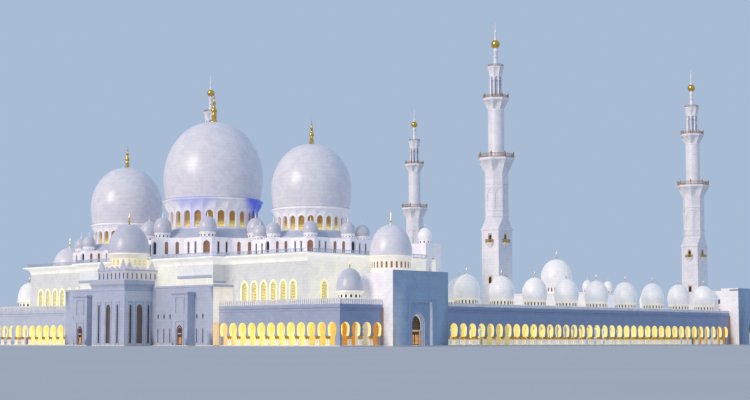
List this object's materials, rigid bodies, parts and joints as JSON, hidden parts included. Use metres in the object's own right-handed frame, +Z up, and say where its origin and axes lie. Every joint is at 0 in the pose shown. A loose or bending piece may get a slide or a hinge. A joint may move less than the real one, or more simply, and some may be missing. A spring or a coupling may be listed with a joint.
{
  "type": "large mosque with courtyard, 1:10 scale model",
  "caption": "Domed prayer hall, arcaded galleries round a court, portal blocks and tall corner minarets, with hinged entrance doors.",
  "frame": {"origin": "middle of the plan at ground level", "axes": "+Z up, -X the front with the prayer hall, +X the east gallery, +Y to the left of the front"},
  "size_m": [24.33, 18.4, 10.7],
  "materials": {
    "wall_marble": "honed white marble",
    "dome_marble": "polished white marble",
    "door_bronze": "dark bronze"
  },
  "bodies": {
    "building": {"hall_floor": "wall_marble", "south_gallery_floor": "wall_marble", "north_gallery_floor": "wall_marble", "east_gallery_floor": "wall_marble", "front_wall": "wall_marble", "south_hall_wall": "wall_marble", "north_hall_wall": "wall_marble", "court_wall": "wall_marble", "hall_roof": "wall_marble", "main_clerestory": "wall_marble", "main_drum": "wall_marble", "main_dome": "dome_marble", "south_clerestory": "wall_marble", "north_clerestory": "wall_marble", "south_drum": "wall_marble", "north_drum": "wall_marble", "south_dome": "dome_marble", "north_dome": "dome_marble", "north_front_mass": "wall_marble", "south_front_mass": "wall_marble", "mihrab_bay": "wall_marble", "mihrab_parapet": "wall_marble", "mihrab_dome": "dome_marble", "south_wing_front": "wall_marble", "north_wing_front": "wall_marble", "south_wing_side": "wall_marble", "north_wing_side": "wall_marble", "south_wing_roof": "wall_marble", "north_wing_roof": "wall_marble", "south_portal": "wall_marble", "north_portal": "wall_marble", "south_portal_dome": "dome_marble", "north_portal_dome": "dome_marble", "southeast_portal": "wall_marble", "northeast_portal": "wall_marble", "south_outer_arcade": "wall_marble", "north_outer_arcade": "wall_marble", "south_court_arcade": "wall_marble", "north_court_arcade": "wall_marble", "south_gallery_roof": "wall_marble", "north_gallery_roof": "wall_marble", "west_court_arcade": "wall_marble", "west_court_roof": "wall_marble", "east_court_arcade": "wall_marble", "east_outer_arcade": "wall_marble", "east_gallery_roof": "wall_marble", "east_gate_block": "wall_marble", "southwest_minaret": "wall_marble", "northwest_minaret": "wall_marble", "southeast_minaret": "wall_marble", "northeast_minaret": "wall_marble"},
    "south_box_door": {"south_box_door": "door_bronze"},
    "north_box_door": {"north_box_door": "door_bronze"},
    "south_door_west_leaf": {"south_door_west_leaf": "door_bronze"},
    "north_door_west_leaf": {"north_door_west_leaf": "door_bronze"},
    "south_door_east_leaf": {"south_door_east_leaf": "door_bronze"},
    "north_door_east_leaf": {"north_door_east_leaf": "door_bronze"}
  },
  "joints": [
    {"name": "south_west_leaf_hinge", "type": "hinge", "parent": "building", "child": "south_door_west_leaf", "pos_m": [-8.098, -8.93, 0.2], "axis": [0, 0, 1], "range_deg": [0, 90]},
    {"name": "south_east_leaf_hinge", "type": "hinge", "parent": "building", "child": "south_door_east_leaf", "pos_m": [-7.712, -8.93, 0.2], "axis": [0, 0, 1], "range_deg": [-90, 0]},
    {"name": "north_west_leaf_hinge", "type": "hinge", "parent": "building", "child": "north_door_west_leaf", "pos_m": [-8.098, 8.93, 0.2], "axis": [0, 0, 1], "range_deg": [-90, 0]},
    {"name": "north_east_leaf_hinge", "type": "hinge", "parent": "building", "child": "north_door_east_leaf", "pos_m": [-7.712, 8.93, 0.2], "axis": [0, 0, 1], "range_deg": [0, 90]},
    {"name": "south_box_door_hinge", "type": "hinge", "parent": "building", "child": "south_box_door", "pos_m": [-11.295, -2.603, 0.2], "axis": [0, 0, 1], "range_deg": [-90, 0]},
    {"name": "north_box_door_hinge", "type": "hinge", "parent": "building", "child": "north_box_door", "pos_m": [-11.295, 2.603, 0.2], "axis": [0, 0, 1], "range_deg": [0, 90]}
  ]
}
